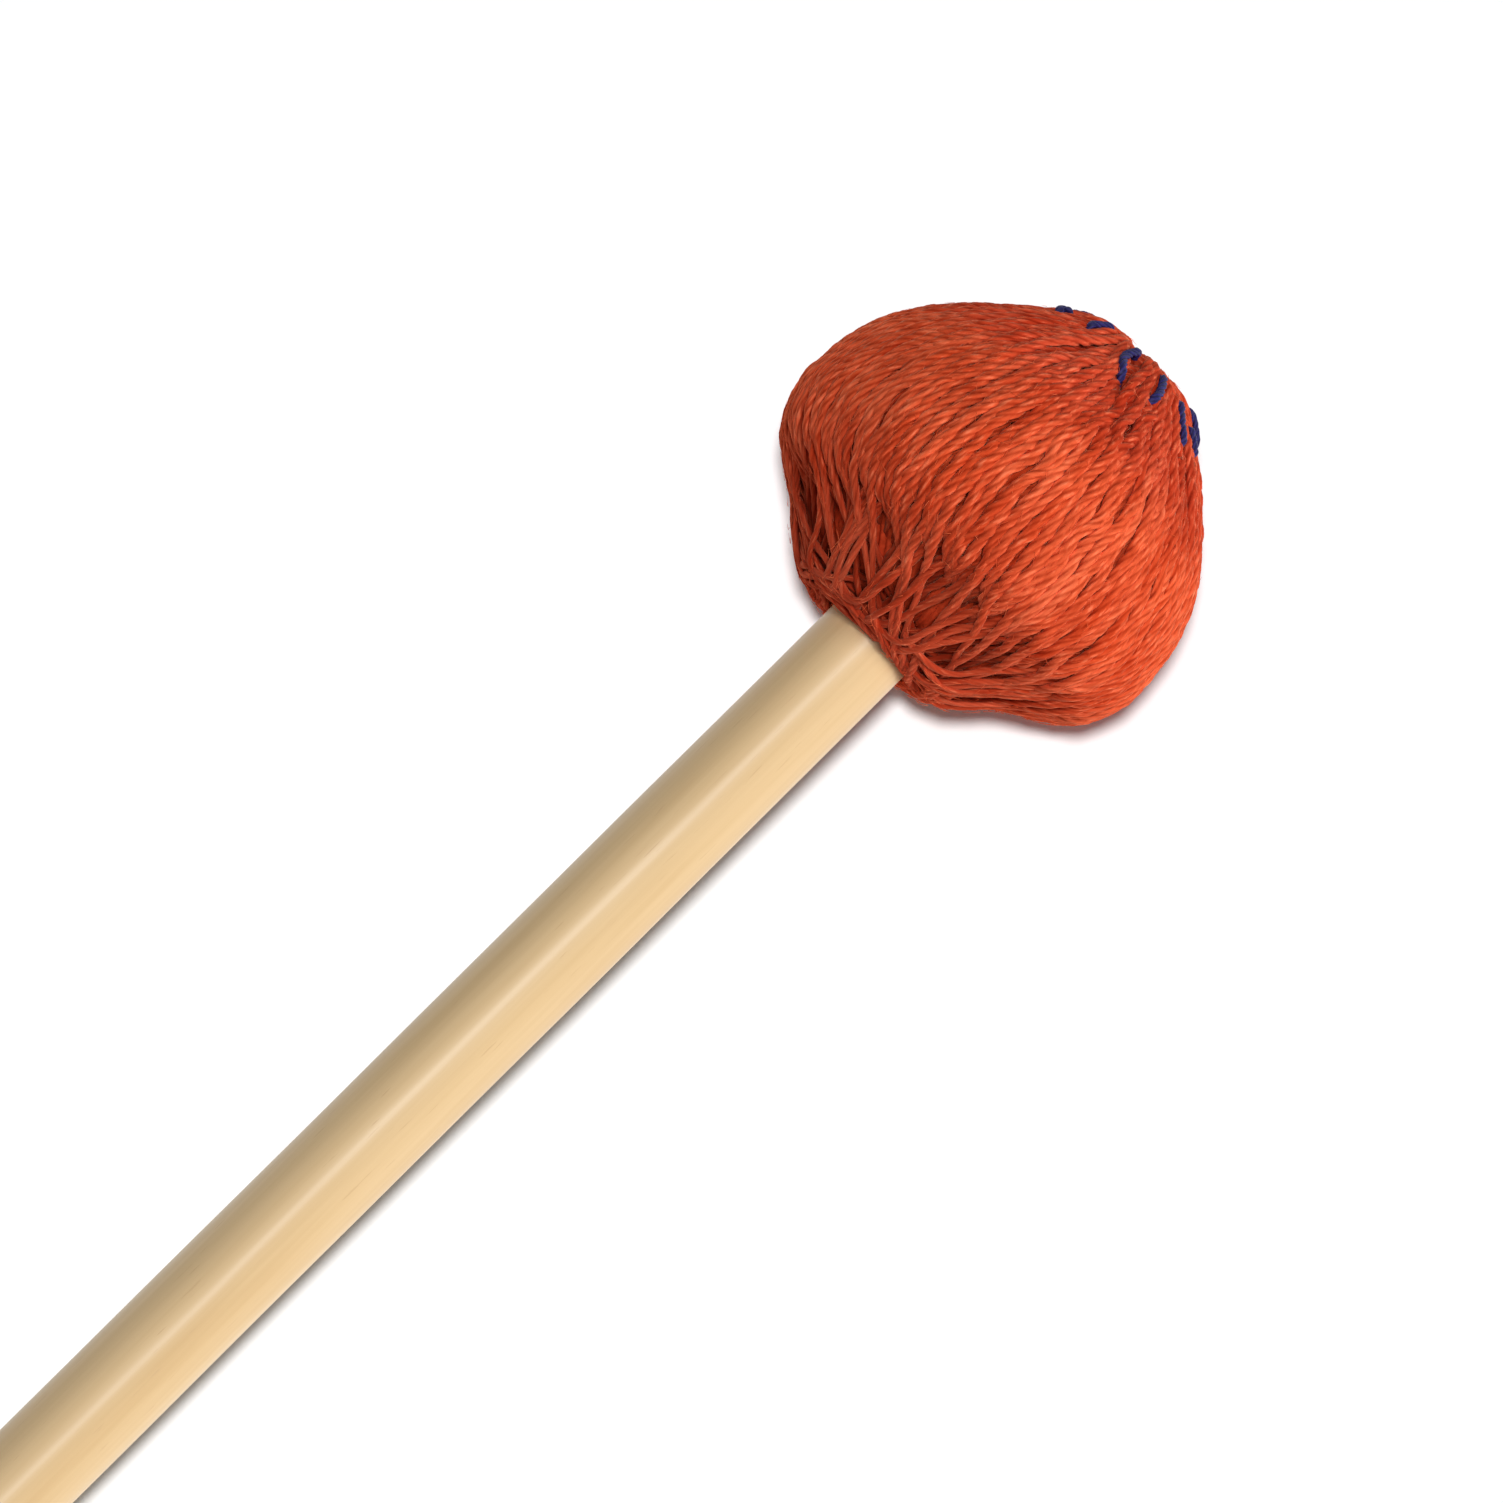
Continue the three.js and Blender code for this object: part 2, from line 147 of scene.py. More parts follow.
def shader_group(name, inputs, outputs):
    """An empty shader group with its named sockets, and its input and output nodes."""
    group = bpy.data.node_groups.new(name, "ShaderNodeTree")
    for way, sockets in (("INPUT", inputs), ("OUTPUT", outputs)):
        for socket, kind in sockets.items():
            group.interface.new_socket(socket, in_out=way, socket_type="NodeSocket" + kind)
    return group, group.nodes.new("NodeGroupInput"), group.nodes.new("NodeGroupOutput")


def grain_group():
    """Noise that can be stretched along the mallet or round it."""
    group, inputs, outputs = shader_group(
        "grain along the mallet",
        {"Stretch": "Vector", "Scale": "Float", "Detail": "Float", "Roughness": "Float"},
        {"Grain": "Float"})
    coordinates = group.nodes.new("ShaderNodeTexCoord")
    upright = group.nodes.new("ShaderNodeMapping")
    upright.inputs["Rotation"].default_value = lying.to_3x3().inverted().to_euler()
    stretched = group.nodes.new("ShaderNodeMapping")
    noise = group.nodes.new("ShaderNodeTexNoise")
    group.links.new(coordinates.outputs["Object"], upright.inputs["Vector"])
    group.links.new(upright.outputs["Vector"], stretched.inputs["Vector"])
    group.links.new(inputs.outputs["Stretch"], stretched.inputs["Scale"])
    group.links.new(stretched.outputs["Vector"], noise.inputs["Vector"])
    for name in ("Scale", "Detail", "Roughness"):
        group.links.new(inputs.outputs[name], noise.inputs[name])
    group.links.new(noise.outputs["Fac"], outputs.inputs["Grain"])
    return group


mallet_grain = grain_group()


def placed_group(tree, group, **values):
    """A shader group placed in a material, with the material's own values."""
    node = tree.nodes.new("ShaderNodeGroup")
    node.node_tree = group
    for name, value in values.items():
        node.inputs[name.replace("_", " ").capitalize()].default_value = value
    return node


def grain(tree, stretch, scale, detail, roughness=0.55):
    """Grain along the mallet, with its own stretch in the three directions, scale and detail."""
    placed = placed_group(tree, mallet_grain, stretch=stretch, scale=scale, detail=detail,
                          roughness=roughness)
    return placed.outputs["Grain"]


def stepped_colour(tree, value, *stops):
    """A colour ramp over a value, from (place, colour) stops in order."""
    ramp = tree.nodes.new("ShaderNodeValToRGB")
    steps = ramp.color_ramp.elements
    steps.remove(steps[1])
    steps[0].position = stops[0][0]
    steps[0].color = (*stops[0][1], 1)
    for place, colour in stops[1:]:
        steps.new(place).color = (*colour, 1)
    tree.links.new(value, ramp.inputs["Fac"])
    return ramp.outputs["Color"]


def mixed(tree, kind, factor, first, second):
    """Two colours mixed, by a value or by a fixed share."""
    mix = tree.nodes.new("ShaderNodeMix")
    mix.data_type = "RGBA"
    mix.blend_type = kind
    if isinstance(factor, (int, float)):
        mix.inputs["Factor"].default_value = factor
    else:
        tree.links.new(factor, mix.inputs["Factor"])
    # The Mix node takes colours in its sockets 6 and 7 and gives the mixed one at its output 2
    for value, socket in ((first, mix.inputs[6]), (second, mix.inputs[7])):
        if isinstance(value, tuple):
            socket.default_value = (*value, 1)
        else:
            tree.links.new(value, socket)
    return mix.outputs[2]


def bumped(tree, shader, height, distance, strength):
    """Feeds a height to the shader as bump."""
    bump = tree.nodes.new("ShaderNodeBump")
    bump.inputs["Distance"].default_value = distance
    bump.inputs["Strength"].default_value = strength
    tree.links.new(height, bump.inputs["Height"])
    tree.links.new(bump.outputs["Normal"], shader.inputs["Normal"])


black, white = (0, 0, 0), (1, 1, 1)
cane_colour = (0.73, 0.512, 0.272)
cane_dark = (0.70, 0.478, 0.246)
cane_pale = (0.755, 0.537, 0.294)
fibre_shade = (0.93, 0.91, 0.88)
pore_colour = (0.66, 0.445, 0.235)
rattan, tree, shader = new_material("lacquered rattan", 0.42)
fibres = grain(tree, (1, 1, 0.02), 2200, 3, 0.6)
bands = grain(tree, (1, 1, 0.08), 300, 3)
pores = grain(tree, (1, 1, 0.06), 4200, 2)
peeled = stepped_colour(tree, bands, (0.36, cane_dark), (0.5, cane_colour), (0.66, cane_pale))
streaks = stepped_colour(tree, fibres, (0.3, fibre_shade), (0.62, white))
peeled = mixed(tree, "MULTIPLY", 0.6, peeled, streaks)
pits = stepped_colour(tree, pores, (0.27, white), (0.33, black))
peeled = mixed(tree, "MIX", pits, peeled, pore_colour)
tree.links.new(peeled, shader.inputs["Base Color"])
bumped(tree, shader, fibres, 0.01 * mm, 0.1)
shader.inputs["Specular IOR Level"].default_value = 0.25
shader.inputs["Coat Weight"].default_value = 0.3
shader.inputs["Coat Roughness"].default_value = 0.24
finished(cane, "cane_shaft", rattan, "rattan", "rattan_shaft")


# Adhesive. A film of honey-coloured epoxy between the cane and the socket of the core, with the fillet that
# was squeezed out at the mouth when the cane was pushed home.
def dressed(node, material):
    """A CAD piece that keeps its own solid, in its finish."""
    frame["nodes"][node].data.materials.clear()
    frame["nodes"][node].data.materials.append(material)


epoxy, tree, shader = new_material("cured epoxy", 0.25)
clouding = grain(tree, (1, 1, 1), 450, 4)
honey = stepped_colour(tree, clouding, (0.35, (0.62, 0.47, 0.24)), (0.65, (0.80, 0.70, 0.48)))
tree.links.new(honey, shader.inputs["Base Color"])
bumped(tree, shader, clouding, 0.1 * mm, 0.3)
dressed("adhesive_film", epoxy)

# Core. Moulded black rubber, dull, with the fine grain of its mould. The cane goes into its blind socket and
# is glued there.
rubber, tree, shader = new_material("moulded rubber", 0.72)
mould_grain = grain(tree, (1, 1, 1), 1800, 3)
soot = stepped_colour(tree, mould_grain, (0.3, (0.022, 0.020, 0.019)), (0.7, (0.050, 0.046, 0.043)))
tree.links.new(soot, shader.inputs["Base Color"])
bumped(tree, shader, mould_grain, 0.05 * mm, 0.5)
dressed("rubber_core", rubber)

# Sleeve. Thin dipped latex, stretched over the core, which holds it by its own pull. It keeps the cord from
# slipping on the rubber.
latex, tree, shader = new_material("dipped latex", 0.55)
drips = grain(tree, (1, 1, 0.3), 260, 4)
amber = stepped_colour(tree, drips, (0.3, (0.52, 0.33, 0.14)), (0.7, (0.70, 0.50, 0.26)))
tree.links.new(amber, shader.inputs["Base Color"])
bumped(tree, shader, drips, 0.2 * mm, 0.4)
dressed("latex_sleeve", latex)

# Packed cord. The inner layers of the winding, packed hard over the sleeve, with the ridges of their
# strands. They are the deep ground between the strands near the shaft, and their red is darkened with
# painted shade.
_, layers_out = along_and_out("cord_outer_layer")
stitches_along, _ = along_and_out("crown_stitching")
head_radius = float(layers_out.max())
overall_length = float(stitches_along.max())
head_height = 32.1 * mm
stitch_rise = 0.1 * mm  # what the stitches add to the height of the crown
belly_height = 13.2 * mm
neck_radius = shaft_radius + 0.15 * mm
head_base = overall_length - head_height
crown_top = overall_length - stitch_rise

# The outline of the head, from the shaft to the belly and from the belly to the middle of the crown, as
# shares of each stretch's height and width
underside_shares = ((0, 0), (0.06, 0.27), (0.32, 0.57), (0.59, 0.865), (0.8, 0.975), (1, 1))
crown_shares = ((0.25, 0.965), (0.5, 0.845), (0.74, 0.615), (0.89, 0.435), (0.97, 0.32), (1, 0.19), (1, 0))
curve_steps = 60  # from one of those places to the next
outline_steps = 900
off_centre = 0.3 * mm  # the head stands this far off the shaft's axis
off_centre_angle = math.radians(14)
off_centre_from = 9 * mm  # from the axis outward, in full
flat_depth = 0.5 * mm  # of the flatter place in the underside, on its other side
flat_middle = 7 * mm  # along the outline from the shaft
flat_reach = 3.5 * mm


def head_outline():
    """The outline at even steps: the way along it, its radius and height, and its outward direction."""
    belly = head_base + belly_height
    corners = [(neck_radius + out * (head_radius - neck_radius), head_base + up * belly_height)
               for up, out in underside_shares]
    corners += [(out * head_radius, belly + up * (crown_top - belly)) for up, out in crown_shares]
    corners = np.array([corners[0], *corners, corners[-1]])
    t = np.linspace(0, 1, curve_steps, endpoint=False)[:, None]
    before, start, end, after = (corners[i:len(corners) - 3 + i, None] for i in range(4))
    curve = start + 0.5 * t * (end - before + t * (2 * before - 5 * start + 4 * end - after
                                                   + t * (3 * (start - end) + after - before)))
    curve = np.vstack([curve.reshape(-1, 2), corners[-1]])
    way = np.concatenate([[0], np.cumsum(np.linalg.norm(np.diff(curve, axis=0), axis=1))])
    even = np.linspace(0, way[-1], outline_steps)
    radius, height = (np.interp(even, way, curve[:, i]) for i in range(2))
    outward = np.stack([np.gradient(height), -np.gradient(radius)], axis=1)
    outward /= np.linalg.norm(outward, axis=1)[:, None]
    return even, radius, height, outward


outline_way, outline_radius, outline_height, outline_outward = head_outline()
belly_way = outline_way[outline_radius.argmax()]


def eased(value):
    """A value from 0 to 1 that starts and ends gently."""
    value = np.clip(value, 0, 1)
    return value * value * (3 - 2 * value)


def on_head(way, angle, depth):
    """Points under the skin of the head, and the outward directions there."""
    radius = np.interp(way, outline_way, outline_radius)
    side = np.cos(angle - off_centre_angle)
    flat = flat_depth * np.exp(-((way - flat_middle) / flat_reach) ** 2) * np.maximum(0, -side)
    radius = radius + (off_centre * side - flat) * eased(radius / off_centre_from)
    height = np.interp(way, outline_way, outline_height)
    out = np.interp(way, outline_way, outline_outward[:, 0])
    up = np.interp(way, outline_way, outline_outward[:, 1])
    radius = radius - depth * out
    points = np.stack([radius * np.cos(angle), radius * np.sin(angle), height - depth * up], axis=-1)
    outward = np.stack([out * np.cos(angle), out * np.sin(angle), up], axis=-1)
    return points, outward


ridge_count = 96
ridge_depth = 0.4 * mm
ridge_lean = 1.1  # turned round the head on the way up, in radians
packed_depth = 1.75 * mm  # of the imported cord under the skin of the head, at the belly
packed_neck_depth = 3.1 * mm
packed_crown_depth = 2.9 * mm
pile_radius = 11.5 * mm  # from the axis, where it begins to lie deeper
pile_slope = 6 * mm
packed_wall = 1.2 * mm
packed_span = (0.02, 0.97)  # of the whole outline
sides_per_ridge = 6
packed_rings = 60
least_radius = 0.1 * mm


def packed_profile(way):
    """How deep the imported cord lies: deeper where strands pile up at the shaft and on the crown."""
    pile = eased((pile_radius - np.interp(way, outline_way, outline_radius)) / pile_slope)
    end_depth = np.where(way < belly_way, packed_neck_depth, packed_crown_depth)
    return packed_depth + (end_depth - packed_depth) * pile


def packed_cord():
    """A closed shell with the ridges of its strands outside and a smooth inside."""
    ring = ridge_count * sides_per_ridge
    way = np.linspace(*packed_span, packed_rings)[:, None] * outline_way[-1]
    angle = np.linspace(0, 2 * math.pi, ring, endpoint=False)[None, :]
    lean = ridge_lean * (way / outline_way[-1])
    ridges = ridge_depth * (1 - np.abs(np.cos(ridge_count / 2 * (angle + lean))))
    depth = packed_profile(way)
    outside, _ = on_head(way + 0 * angle, angle + 0 * way, depth + ridges)
    inside, _ = on_head(way + 0 * angle, angle + 0 * way, depth + ridge_depth + packed_wall + 0 * angle)
    for wall in (outside, inside):
        radius = np.maximum(np.hypot(wall[..., 0], wall[..., 1]), least_radius)
        off_the_cane = np.where(way < belly_way, np.maximum(1, neck_radius / radius), 1)
        wall[..., :2] *= off_the_cane[..., None]
    rings = np.concatenate([outside, inside[::-1]])
    here = np.arange(len(rings))[:, None] * ring + np.arange(ring)[None, :]
    beside = np.roll(here, -1, axis=1)
    after = np.roll(here, -1, axis=0)
    diagonal = np.roll(after, -1, axis=1)
    faces = np.stack([here, beside, diagonal, after], axis=-1).reshape(-1, 4)
    return mesh_of(rings.reshape(-1, 3), faces)


packed = packed_cord()
packed_orange, tree, shader = new_material("packed cord", 0.8)
lint = grain(tree, (1, 1, 0.35), 1500, 4)
# The cord's red, darkened with painted shade for the deep ground between the strands
cord_red_with_painted_shade = stepped_colour(tree, lint, (0.3, (0.5, 0.044, 0.013)), (0.7, (0.8, 0.082, 0.026)))
tree.links.new(cord_red_with_painted_shade, shader.inputs["Base Color"])
bumped(tree, shader, lint, 0.12 * mm, 0.8)
shader.inputs["Specular IOR Level"].default_value = 0
finished(packed, "packed_cord", packed_orange, "inner_cord", "cord_inner_layers")

# Winding. One long, soft, two-ply cord in orange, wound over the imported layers. Each pass climbs from the
# shaft over the belly, turns near the middle of the crown, and comes down under the strands that climb, to
# turn round the shaft again.
passes = 128
cord_radius = 0.45 * mm
cord_step = 0.3 * mm
quarter_steps = 120
neck_turns = (4.35 * mm, 8.8 * mm)  # radii at which strands turn at the shaft
neck_crowding = 1.6  # more of them turn close to it
crown_turns = (0.3 * mm, 3.6 * mm)
# A strand that kept its lean would pass the axis at this distance
belly_lean = 1.5 * mm
belly_lean_end = 5 * mm  # above the belly, where strands climb straight
crown_lean_start = 8 * mm  # out from its turn, where a strand begins to lean for it
coming_lean = 3.5 * mm  # strands that come down to the shaft lean only on this last stretch
going_lean = 9 * mm  # and those that leave it have straightened at this distance from the belly
most_lean = 0.9995  # of a strand's distance from the axis
uneven_climbing = 0.16  # of the space between two strands at the belly
uneven_coming = 0.2
chance = np.random.default_rng(41)


def quarter_pass(turn_radius, to_crown, coming=True):
    """A strand from the belly to where it turns: its way on the outline, and how far it has gone round."""
    part = outline_way >= belly_way if to_crown else outline_way <= belly_way
    order = np.argsort(outline_radius[part])
    turn_way = np.interp(turn_radius, outline_radius[part][order], outline_way[part][order])
    way = belly_way + (turn_way - belly_way) * np.sin(np.linspace(0, math.pi / 2, quarter_steps))
    middle = (way[1:] + way[:-1]) / 2
    radius = np.interp(middle, outline_way, outline_radius)
    if to_crown:
        lean = belly_lean * eased(1 - (middle - belly_way) / belly_lean_end)
        lean = lean + turn_radius * eased(1 - (radius - turn_radius) / crown_lean_start)
    elif coming:
        lean = belly_lean + (turn_radius - belly_lean) * eased(1 - (middle - turn_way) / coming_lean)
    else:
        lean = belly_lean + (turn_radius - belly_lean) * eased((belly_way - middle) / going_lean)
    lean = np.minimum(lean, most_lean * radius)
    turned = np.abs(np.diff(way)) * lean / (radius * np.sqrt(radius**2 - lean**2))
    return way, np.concatenate([[0], np.cumsum(turned)])


def winding_route():
    """The whole cord: its way on the outline, its angle, whether it comes down, its rank and its pass."""
    step = 2 * math.pi / passes
    ranks = [chance.permutation(passes) / passes for _ in range(2)]
    neck_shares = chance.uniform(0, 1, passes + 1) ** neck_crowding
    neck_radii = neck_turns[0] + (neck_turns[1] - neck_turns[0]) * neck_shares
    crown_radii = chance.uniform(*crown_turns, passes)
    over_crown = 2 * quarter_pass(np.mean(crown_turns), True)[1][-1]
    round_shaft = sum(quarter_pass(np.mean(neck_radii), False, coming)[1][-1] for coming in (True, False))
    pass_turn = 2 * round((over_crown + round_shaft) / 2 / step) + 1  # odd, so that the passes lie evenly
    uneven_up = chance.uniform(-uneven_climbing, uneven_climbing, passes + 1)
    up_belly = step * (uneven_up - pass_turn * np.arange(passes + 1))
    down_belly = up_belly[:-1] - over_crown + chance.uniform(-uneven_coming, uneven_coming, passes) * step
    before = np.concatenate([[up_belly[0] + step * pass_turn - over_crown], down_belly])
    quarters = []
    for k in range(passes):
        comes, goes, next_comes, next_goes = (quarter_pass(neck_radii[j], False, coming)
                                              for j in (k, k + 1) for coming in (True, False))
        stretch = (before[k] - up_belly[k]) / (comes[1][-1] + goes[1][-1])
        quarters.append((goes[0][::-1], up_belly[k] + stretch * goes[1][::-1], 0, ranks[0][k]))
        way, turned = quarter_pass(crown_radii[k], True)
        stretch = (up_belly[k] - down_belly[k]) / (2 * turned[-1])
        quarters.append((way, up_belly[k] - stretch * turned, 0, ranks[0][k]))
        quarters.append((way[::-1], down_belly[k] + stretch * turned[::-1], 1, ranks[1][k]))
        stretch = (down_belly[k] - up_belly[k + 1]) / (next_comes[1][-1] + next_goes[1][-1])
        quarters.append((next_comes[0], down_belly[k] - stretch * next_comes[1], 1, ranks[1][k]))
    rows = [np.stack([way, angle, 0 * way + down, 0 * way + rank, 0 * way + number // 4], axis=1)[:-1]
            for number, (way, angle, down, rank) in enumerate(quarters)]
    return np.concatenate(rows)


def lengths_along(points):
    """The length of the cord up to each of its points."""
    return np.concatenate([[0], np.cumsum(np.linalg.norm(np.diff(points, axis=0), axis=1))])


def wandering(count, reach):
    """A smooth random value along the cord, with a new aim at each stretch of the given length."""
    spacing = reach / cord_step
    aims = chance.normal(0, 1, int(count / spacing) + 3)
    place = np.arange(count) / spacing
    share = eased(place % 1)
    return aims[place.astype(int)] * (1 - share) + aims[place.astype(int) + 1] * share


def evened(values, reach):
    """Values along the cord, evened out over the given length."""
    window = np.hanning(2 * int(reach / cord_step) + 3)
    half = len(window) // 2
    return np.convolve(np.pad(values, half, mode="edge"), window / window.sum(), mode="valid")


hollow_reach = 15.5 * mm  # along the head from the shaft, where strands begin to go down into the hollow
hollow_slope = 10 * mm  # and the stretch on which they do
rim_share = 0.3  # of that depth, which they keep right at the shaft
rim_start = 1 * mm
rim_slope = 5 * mm
layer_depth = 0.8 * mm
under_depth = 0.72 * mm  # of the strands that come down, under those that climb
deepest_neck = 3 * mm
deepest_crown = 2.1 * mm
full_layer = 1.02  # the belly is this much wider than the ring on which the strands begin to crowd
bridging = 0.26  # share of the strands that bridge the hollow round the shaft, over the others
bridging_slope = 0.06
least_sunk = 0.25
crossing_depth = 0.5 * mm


def near_shaft(way):
    """How much a strand has gone down into the hollow round the shaft."""
    rim = rim_share + (1 - rim_share) * eased((way - rim_start) / rim_slope)
    return eased((hollow_reach - way) / hollow_slope) * rim


def pile_depth(way, radius, down, rank):
    """How deep a strand lies, and how much of that darkens it with painted shade.

    On the crown, where there isn't room for all beside each other, the later strands cover the others.
    At the shaft a few strands bridge the hollow in which the others lie.
    """
    crowding = layer_depth * np.maximum(0, head_radius / np.maximum(radius, 1 * mm) - full_layer)
    crown_depth = np.minimum(deepest_crown, crowding) * rank**2
    sunk = least_sunk + (1 - least_sunk) * (rank - bridging) / (1 - bridging)
    sunk = sunk * eased((rank - bridging) / bridging_slope)
    shade = np.where(way < belly_way, deepest_neck * near_shaft(way) * sunk, crown_depth)
    shade = shade + under_depth * down * (1 - near_shaft(way))
    return shade + crossing_depth * near_shaft(way) * (1 - down), shade


pole_shift = 2.3 * mm  # the strands meet this far off the middle of the crown, on the side of the camera
pole_angle = math.radians(104)
pole_reach = 12 * mm  # above the belly, where they have shifted in full
# The stitches round the crown, by their angle from the side of the camera
stitch_azimuths = np.array([-57, -6, 12, 48, 66, 92, 120, 150, 180, 210, 240, 282])
# Along the crown from where the strands meet, to the outer and the inner end of each stitch
stitch_outer = np.array([7.5, 9.3, 8.6, 9.9, 9.5, 8.6, 9.2, 8.4, 9.4, 8.8, 9.2, 8.8]) * mm
stitch_inner = np.array([4.6, 3.6, 3.7, 4.6, 6.6, 4.4, 5.2, 4.2, 5.4, 4.2, 4.8, 7.6]) * mm
hole_width = 0.4 * mm
hole_reach = 1.1 * mm


def toward_the_pole(way, angle):
    """Way and angle of strands that meet off the middle of the crown and give way to the stitches."""
    pole = pole_shift * np.exp(1j * pole_angle)
    place = (outline_way[-1] - way) * np.exp(1j * angle)
    place = place + pole * eased((way - belly_way) / pole_reach)
    for hole in pole + stitch_outer * np.exp(1j * (pole_angle + np.radians(stitch_azimuths))):
        apart = place - hole
        push = hole_width * np.exp(-(np.abs(apart) / hole_reach) ** 2)
        sideways = np.imag(apart * np.conj(hole) / abs(hole))
        place = place + 1j * np.sign(sideways) * push * hole / abs(hole)
    return outline_way[-1] - np.abs(place), angle + np.angle(place * np.exp(-1j * angle))


wander = 0.22 * mm
wander_length = 3.6 * mm
wander_radius = 3 * mm  # closer to the axis than this, strands don't turn more for it
crossing_length = 2.5 * mm  # on which a strand goes over or under
pressed_mean = 0.08 * mm  # how far the strands are pressed into each other
pressed_spread = 0.09 * mm
pressed_most = 0.3 * mm
worn_middle = 5 * mm  # above the belly, of the ring that is coloured paler
worn_reach = (14 * mm, 5.7 * mm)  # toward the shaft and toward the crown


def winding_centre():
    """Points along the middle of the cord at even steps, with their outward directions, passes and marks."""
    route = winding_route()
    points, _ = on_head(route[:, 0], route[:, 1], cord_radius)
    length = lengths_along(points)
    count = int(length[-1] / cord_step)
    even = np.linspace(0, length[-1], count)
    way, angle, down, rank, number = (np.interp(even, length, column) for column in route.T)
    down, rank = evened(down, crossing_length), evened(rank, crossing_length)
    radius = np.interp(way, outline_way, outline_radius)
    angle = angle + wander * wandering(count, wander_length) / np.maximum(radius, wander_radius)
    depth, shade = pile_depth(way, radius, down, rank)
    way, angle = toward_the_pole(way, angle)
    pressed = pressed_mean + pressed_spread * wandering(count, wander_length)
    pressed = np.clip(pressed, 0, pressed_most)
    points, outward = on_head(way, angle, cord_radius + depth + pressed)
    from_axis = np.hypot(points[:, 0], points[:, 1])
    off_the_cane = np.where(way < belly_way, np.maximum(1, neck_turns[0] / from_axis), 1)
    points[:, :2] *= off_the_cane[:, None]
    above = way - belly_way - worn_middle
    worn = np.exp(-(above / np.where(above < 0, *worn_reach)) ** 2)
    return points, outward, np.floor(number + 0.5), shade + pressed, near_shaft(way), worn


# The section of a cord of two plies, each of two yarns, starting in a groove between the plies: degrees
# round it, and shares of its radius
section_turns = np.arange(0, 360, 22.5)
section_reach = np.array([0.64, 0.87, 0.99, 0.96, 0.85, 0.96, 0.99, 0.87] * 2)
flattened = (1.18, 0.88)  # pressed wider and lower by the strands' pull


def cord_mesh(points, outward, start, lay, radius, thickness, phase, **marks):
    """A two-ply cord along points: two lobes that turn round each other, closed at both ends.

    Its UV places run round it and, in metres, along it. The marks are values along it for its material.
    """
    count = len(points)
    sides = len(section_turns)
    along = np.gradient(points, axis=0)
    along /= np.linalg.norm(along, axis=1)[:, None]
    normal = outward - (outward * along).sum(axis=1)[:, None] * along
    normal /= np.linalg.norm(normal, axis=1)[:, None]
    side = np.cross(normal, along)
    length = start + lengths_along(points)
    turn = np.radians(section_turns)[None, :] + 2 * math.pi * length[:, None] / lay + phase[:, None]
    reach = radius * section_reach * thickness
    wide = (flattened[0] * np.cos(turn) * reach)[..., None]
    high = (flattened[1] * np.sin(turn) * reach)[..., None]
    rings = points[:, None, :] + wide * side[:, None, :] + high * normal[:, None, :]
    faces, caps = tube_faces(count, sides)
    u = np.append(section_turns / 360, 1)
    u_here, u_beside = (np.broadcast_to(u[i:i + sides], (count - 1, sides)) for i in range(2))
    v_here, v_after = (np.broadcast_to(length[i:i + count - 1, None], (count - 1, sides)) for i in range(2))
    corners = [(u_here, v_here), (u_beside, v_here), (u_beside, v_after), (u_here, v_after)]
    uv = np.stack([np.stack(corner, axis=-1) for corner in corners], axis=2).reshape(-1, 2)
    uv = np.concatenate([uv, np.full((4 * len(caps), 2), length[0])])
    piece = mesh_of(rings.reshape(-1, 3), np.concatenate([faces, caps]), uv)
    for mark, values in marks.items():
        layer = piece.data.attributes.new(mark, "FLOAT", "POINT")
        layer.data.foreach_set("value", np.repeat(values, sides).astype(np.float32))
    return piece


half_yarn = 1 / 8  # of the way round the cord, which has four yarns


def twisted_yarn_group():
    """The fibres of a twisted cord, and painted shade in the grooves between its yarns."""
    group, inputs, outputs = shader_group(
        "twisted yarn",
        {"Fibre scale": "Vector", "Fibre lean": "Float", "Fibre shade": "Color", "Groove shade": "Color"},
        {"Shade": "Color", "Fibres": "Float"})
    place = group.nodes.new("ShaderNodeUVMap")
    place.uv_map = "along the cord"
    apart = group.nodes.new("ShaderNodeSeparateXYZ")
    leaning = group.nodes.new("ShaderNodeMath")
    leaning.operation = "MULTIPLY_ADD"
    together = group.nodes.new("ShaderNodeCombineXYZ")
    scaled = group.nodes.new("ShaderNodeMapping")
    noise = group.nodes.new("ShaderNodeTexNoise")
    noise.inputs["Scale"].default_value = 1
    noise.inputs["Detail"].default_value = 3
    noise.inputs["Roughness"].default_value = 0.6
    across = group.nodes.new("ShaderNodeMath")
    across.operation = "PINGPONG"
    across.inputs[1].default_value = half_yarn
    group.links.new(place.outputs["UV"], apart.inputs["Vector"])
    group.links.new(apart.outputs["Y"], leaning.inputs[0])
    group.links.new(inputs.outputs["Fibre lean"], leaning.inputs[1])
    group.links.new(apart.outputs["X"], leaning.inputs[2])
    group.links.new(leaning.outputs["Value"], together.inputs["X"])
    group.links.new(apart.outputs["Y"], together.inputs["Y"])
    group.links.new(together.outputs["Vector"], scaled.inputs["Vector"])
    group.links.new(inputs.outputs["Fibre scale"], scaled.inputs["Scale"])
    group.links.new(scaled.outputs["Vector"], noise.inputs["Vector"])
    group.links.new(noise.outputs["Fac"], outputs.inputs["Fibres"])
    group.links.new(apart.outputs["X"], across.inputs[0])
    # Painted shade: the grooves between the yarns are coloured darker, where shade falls between them.
    crest = stepped_colour(group, across.outputs["Value"], (0.01, black), (0.07, white))
    lit = stepped_colour(group, noise.outputs["Fac"], (0.34, black), (0.62, white))
    painted_groove_shade = mixed(group, "MIX", crest, inputs.outputs["Groove shade"], white)
    fibres = mixed(group, "MIX", lit, inputs.outputs["Fibre shade"], white)
    group.links.new(mixed(group, "MULTIPLY", 1, painted_groove_shade, fibres), outputs.inputs["Shade"])
    return group


